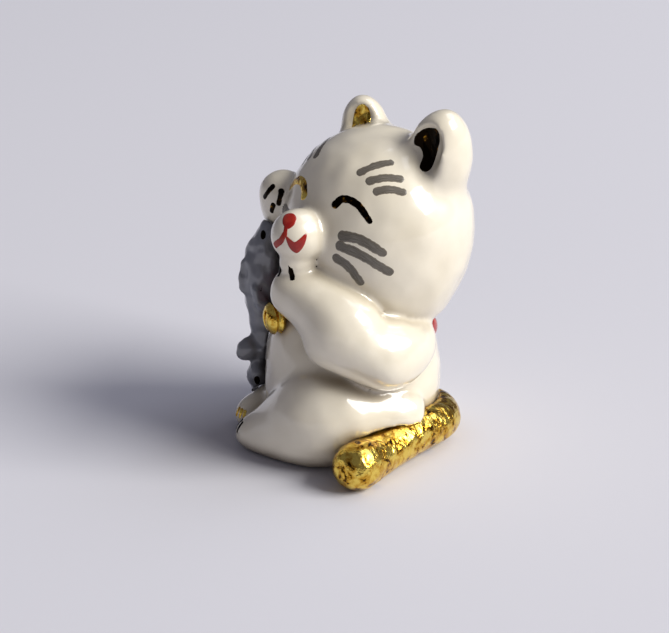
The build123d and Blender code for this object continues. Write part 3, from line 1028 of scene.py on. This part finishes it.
for node, thing in pieces.items():
    finish_piece(thing, white_glaze, "white_glaze", node)
for node, thing in fish_pieces.items():
    finish_piece(thing, fish_glaze, "fish_glaze", node)
finish_piece(tail, gold, "gold_lustre", "tail")
finish_piece(bell, gold, "gold_lustre", "bell")
finish_piece(collar, red, "red_enamel", "collar")
# Marks finished in the dark-reflection lustre are painted nearly black as a dark reflection; the same
# lustre on the other marks is left gold.
MARK_FINISH = {
    "left_eye_line": (dark_reflection_gold, "gold_lustre"),
    "right_eye_line": (gold, "gold_lustre"),
    "forehead_stripes": (grey, "grey_brushwork"),
    "left_whiskers": (grey, "grey_brushwork"),
    "right_whiskers": (grey, "grey_brushwork"),
    "nose": (red, "red_enamel"),
    "mouth": (red, "red_enamel"),
    "left_paw_claws": (dark_reflection_gold, "gold_lustre"),
    "right_paw_claws": (dark_reflection_gold, "gold_lustre"),
    "left_toe_claws": (dark_reflection_gold, "gold_lustre"),
    "right_toe_claws": (gold, "gold_lustre"),
    "left_ear_lining": (dark_reflection_gold, "gold_lustre"),
    "right_ear_lining": (gold, "gold_lustre"),
    "fish_dots": (dark_reflection_gold, "gold_lustre"),
}
for node, (made, slot) in MARK_FINISH.items():
    finish_piece(marks[node], made, slot, node)
print(len(pieces) + len(fish_pieces) + len(MARK_FINISH) + 3, "pieces")

# %% [markdown]
# ## Setting
# A sheet of pale paper, and two large soft square lights: a window behind the cat's left shoulder and a
# weaker patch of sky behind its back. Lamps close to the figurine would fall off from its head to its
# feet, so these stand metres away, as a real window does. Nothing here is part of the figurine.

# %% Paper to stand on
PAPER_SIZE = 6.0
floor_mesh = bpy.data.meshes.new("paper")
work = bmesh.new()
bmesh.ops.create_grid(work, x_segments=2, y_segments=2, size=PAPER_SIZE)
work.to_mesh(floor_mesh)
work.free()
floor = new_object("paper", floor_mesh)
paper, paper_shader = material("matte_paper")
paper_shader.inputs["Base Color"].default_value = linear("#D6D6DE")
paper_shader.inputs["Roughness"].default_value = 0.85
floor.data.materials.append(paper)
print("paper, in metres across:", 2 * PAPER_SIZE)

# %% Light
target = at_axis(-0.7, -1.7, 12.1)


def area_light(name, azimuth, rise, distance, size, power, colour):
    """Soft square light, aimed at the figurine."""
    data = bpy.data.lights.new(name, "AREA")
    data.shape = "SQUARE"
    data.size = size
    data.energy = power
    data.color = linear(colour)[:3]
    lamp = bpy.data.objects.new(name, data)
    lamp.location = target + way(azimuth, rise, 0) * distance
    lamp.rotation_euler = (lamp.location - target).to_track_quat("Z", "Y").to_euler()
    bpy.context.scene.collection.objects.link(lamp)


area_light("window", azimuth=142, rise=35, distance=2.0, size=1.1, power=51.0, colour="#FFFCF6")
area_light("sky", azimuth=190, rise=55, distance=1.6, size=0.93, power=5.7, colour="#EEF2FF")
print("lights:", [thing.name for thing in bpy.data.lights])
world = bpy.data.worlds.new("room")
world.use_nodes = True
room_light = world.node_tree.nodes["Background"]
room_light.inputs["Color"].default_value = linear("#B9B7C4")
room_light.inputs["Strength"].default_value = 0.3
bpy.context.scene.world = world
bpy.context.scene.view_settings.view_transform = "Standard"

# %% Camera
CAMERA_DISTANCE = 0.18
view_way = way(68, 24, 0)
camera_data = bpy.data.cameras.new("camera")
camera_data.lens = 96.9
camera_data.sensor_width = 36
camera_data.clip_start = 0.01
camera = bpy.data.objects.new("camera", camera_data)
camera.location = target + view_way * CAMERA_DISTANCE
camera.rotation_euler = view_way.to_track_quat("Z", "Y").to_euler()
bpy.context.scene.collection.objects.link(camera)
bpy.context.scene.camera = camera
print("camera at", [round(value, 3) for value in camera.location])
